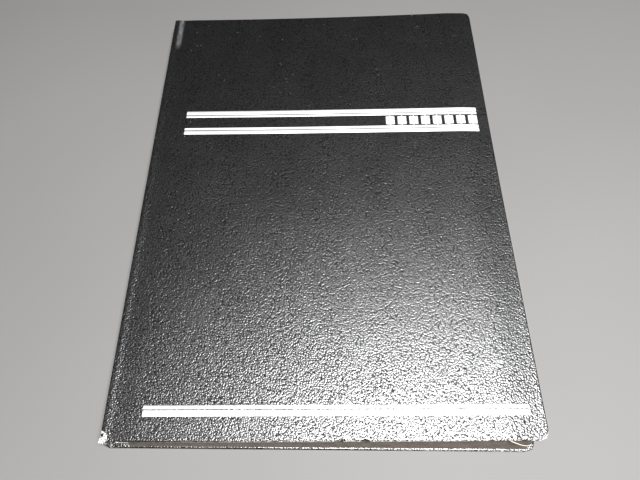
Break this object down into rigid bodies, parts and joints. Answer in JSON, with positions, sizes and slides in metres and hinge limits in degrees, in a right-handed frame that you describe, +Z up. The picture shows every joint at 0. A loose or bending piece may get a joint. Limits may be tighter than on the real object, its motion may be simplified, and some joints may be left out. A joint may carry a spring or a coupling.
{
  "type": "stamp album",
  "caption": "Closed stamp album: leatherette hardback covers on a hinged spine around card leaves with film pocket strips and glassine interleaves.",
  "frame": {"origin": "bottom centre of the closed album, on the surface that it lies on", "axes": "+X from the spine to the fore-edge, +Y from the tail to the head, +Z up, out of the front cover"},
  "size_m": [0.23, 0.3158, 0.0223],
  "materials": {
    "leatherette": "fine-grained black leatherette, satin, worn pale at the corners",
    "grey_board": "raw grey board",
    "endpaper": "matt cream endpaper",
    "silver_foil": "stamped silver foil, slightly worn",
    "leaf_card": "matt grey-brown card",
    "linen_guard": "thin linen hinge cloth",
    "strip_film": "translucent pocket film",
    "glassine": "translucent glassine",
    "lining_cloth": "open cotton mull"
  },
  "bodies": {
    "back_cover": {"back_covering": "leatherette", "back_board": "grey_board", "back_pastedown": "endpaper"},
    "spine": {"spine_covering": "leatherette", "spine_card": "grey_board", "spine_lining": "lining_cloth", "interleaf_4": "glassine"},
    "front_cover": {"front_covering": "leatherette", "front_board": "grey_board", "front_pastedown": "endpaper", "upper_thick_line": "silver_foil", "stamp_panel": "silver_foil", "lower_thick_line": "silver_foil", "tail_thin_line": "silver_foil", "tail_thick_line": "silver_foil"},
    "leaf_1": {"leaf_1_card": "leaf_card", "leaf_1_linen_guard": "linen_guard", "leaf_1_front_pockets": "strip_film", "leaf_1_back_pockets": "strip_film"},
    "leaf_2": {"leaf_2_card": "leaf_card", "leaf_2_linen_guard": "linen_guard", "leaf_2_front_pockets": "strip_film", "leaf_2_back_pockets": "strip_film"},
    "leaf_3": {"leaf_3_card": "leaf_card", "leaf_3_linen_guard": "linen_guard", "leaf_3_front_pockets": "strip_film", "leaf_3_back_pockets": "strip_film"},
    "leaf_4": {"leaf_4_card": "leaf_card", "leaf_4_linen_guard": "linen_guard", "leaf_4_front_pockets": "strip_film", "leaf_4_back_pockets": "strip_film"},
    "leaf_5": {"leaf_5_card": "leaf_card", "leaf_5_linen_guard": "linen_guard", "leaf_5_front_pockets": "strip_film", "leaf_5_back_pockets": "strip_film"},
    "leaf_6": {"leaf_6_card": "leaf_card", "leaf_6_linen_guard": "linen_guard", "leaf_6_front_pockets": "strip_film", "leaf_6_back_pockets": "strip_film"},
    "leaf_7": {"leaf_7_card": "leaf_card", "leaf_7_linen_guard": "linen_guard", "leaf_7_front_pockets": "strip_film", "leaf_7_back_pockets": "strip_film"},
    "leaf_8": {"leaf_8_card": "leaf_card", "leaf_8_linen_guard": "linen_guard", "leaf_8_front_pockets": "strip_film", "leaf_8_back_pockets": "strip_film"},
    "interleaf_1": {"interleaf_1": "glassine"},
    "interleaf_2": {"interleaf_2": "glassine"},
    "interleaf_3": {"interleaf_3": "glassine"},
    "interleaf_5": {"interleaf_5": "glassine"},
    "interleaf_6": {"interleaf_6": "glassine"},
    "interleaf_7": {"interleaf_7": "glassine"}
  },
  "joints": [
    {"name": "spine_opening", "type": "hinge", "parent": "back_cover", "child": "spine", "pos_m": [-0.115, 0, 0], "axis": [0, -1, 0], "range_deg": [0, 90]},
    {"name": "cover_opening", "type": "hinge", "parent": "spine", "child": "front_cover", "pos_m": [-0.115, 0, 0.01555], "axis": [0, -1, 0], "range_deg": [0, 88.3]},
    {"name": "leaf_1_turn", "type": "hinge", "parent": "spine", "child": "leaf_1", "pos_m": [-0.1116, 0, 0.01145], "axis": [0, -1, 0], "range_deg": [0, 78.6]},
    {"name": "leaf_2_turn", "type": "hinge", "parent": "spine", "child": "leaf_2", "pos_m": [-0.1116, 0, 0.0104], "axis": [0, -1, 0], "range_deg": [0, 59]},
    {"name": "leaf_3_turn", "type": "hinge", "parent": "spine", "child": "leaf_3", "pos_m": [-0.1116, 0, 0.00935], "axis": [0, -1, 0], "range_deg": [0, 39.3]},
    {"name": "leaf_4_turn", "type": "hinge", "parent": "spine", "child": "leaf_4", "pos_m": [-0.1116, 0, 0.0083], "axis": [0, -1, 0], "range_deg": [0, 19.7]},
    {"name": "leaf_5_turn", "type": "hinge", "parent": "spine", "child": "leaf_5", "pos_m": [-0.1116, 0, 0.00725], "axis": [0, -1, 0], "range_deg": [-20.1, 0]},
    {"name": "leaf_6_turn", "type": "hinge", "parent": "spine", "child": "leaf_6", "pos_m": [-0.1116, 0, 0.0062], "axis": [0, -1, 0], "range_deg": [-40.1, 0]},
    {"name": "leaf_7_turn", "type": "hinge", "parent": "spine", "child": "leaf_7", "pos_m": [-0.1116, 0, 0.00515], "axis": [0, -1, 0], "range_deg": [-60.1, 0]},
    {"name": "leaf_8_turn", "type": "hinge", "parent": "spine", "child": "leaf_8", "pos_m": [-0.1116, 0, 0.0041], "axis": [0, -1, 0], "range_deg": [-80.1, 0]},
    {"name": "interleaf_1_turn", "type": "hinge", "parent": "spine", "child": "interleaf_1", "pos_m": [-0.1116, 0, 0.01093], "axis": [0, -1, 0], "range_deg": [0, 68.8]},
    {"name": "interleaf_2_turn", "type": "hinge", "parent": "spine", "child": "interleaf_2", "pos_m": [-0.1116, 0, 0.00988], "axis": [0, -1, 0], "range_deg": [0, 49.2]},
    {"name": "interleaf_3_turn", "type": "hinge", "parent": "spine", "child": "interleaf_3", "pos_m": [-0.1116, 0, 0.00882], "axis": [0, -1, 0], "range_deg": [0, 29.5]},
    {"name": "interleaf_5_turn", "type": "hinge", "parent": "spine", "child": "interleaf_5", "pos_m": [-0.1116, 0, 0.00673], "axis": [0, -1, 0], "range_deg": [-30.1, 0]},
    {"name": "interleaf_6_turn", "type": "hinge", "parent": "spine", "child": "interleaf_6", "pos_m": [-0.1116, 0, 0.00568], "axis": [0, -1, 0], "range_deg": [-50.1, 0]},
    {"name": "interleaf_7_turn", "type": "hinge", "parent": "spine", "child": "interleaf_7", "pos_m": [-0.1116, 0, 0.00462], "axis": [0, -1, 0], "range_deg": [-70.1, 0]}
  ],
  "couplings": [
    {"joint": "leaf_1_turn", "follows": "cover_opening", "ratio": 0.88889},
    {"joint": "leaf_2_turn", "follows": "cover_opening", "ratio": 0.66667},
    {"joint": "leaf_3_turn", "follows": "cover_opening", "ratio": 0.44444},
    {"joint": "leaf_4_turn", "follows": "cover_opening", "ratio": 0.22222},
    {"joint": "leaf_5_turn", "follows": "spine_opening", "ratio": -0.22222},
    {"joint": "leaf_6_turn", "follows": "spine_opening", "ratio": -0.44444},
    {"joint": "leaf_7_turn", "follows": "spine_opening", "ratio": -0.66667},
    {"joint": "leaf_8_turn", "follows": "spine_opening", "ratio": -0.88889},
    {"joint": "interleaf_1_turn", "follows": "cover_opening", "ratio": 0.77778},
    {"joint": "interleaf_2_turn", "follows": "cover_opening", "ratio": 0.55556},
    {"joint": "interleaf_3_turn", "follows": "cover_opening", "ratio": 0.33333},
    {"joint": "interleaf_5_turn", "follows": "spine_opening", "ratio": -0.33333},
    {"joint": "interleaf_6_turn", "follows": "spine_opening", "ratio": -0.55556},
    {"joint": "interleaf_7_turn", "follows": "spine_opening", "ratio": -0.77778}
  ]
}
